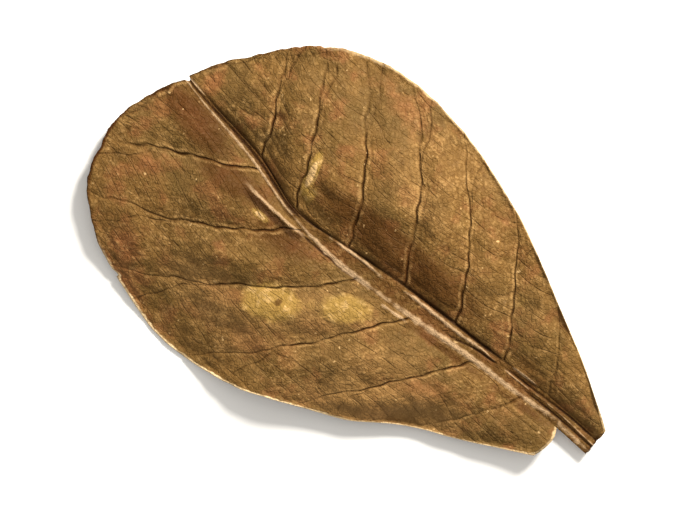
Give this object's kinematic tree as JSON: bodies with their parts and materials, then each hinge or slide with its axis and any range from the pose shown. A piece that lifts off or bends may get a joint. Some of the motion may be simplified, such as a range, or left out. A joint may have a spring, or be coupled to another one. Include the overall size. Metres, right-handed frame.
{
  "type": "dried indian almond leaf",
  "caption": "Single dried Indian almond leaf, obovate with waved margins, side veins, a notched tip and a cut stalk stub, lying upper face up.",
  "frame": {"origin": "middle of the leaf's bounding box, on the surface it lies on", "axes": "+Y along the midrib from the stalk to the tip, +Z out of the upper face, +X to the right seen from above"},
  "size_m": [0.1236, 0.196, 0.0105],
  "materials": {
    "dry_leaf": "dry brown leaf with a faint waxy sheen"
  },
  "bodies": {
    "root": {"leaf": "dry_leaf"}
  },
  "joints": []
}
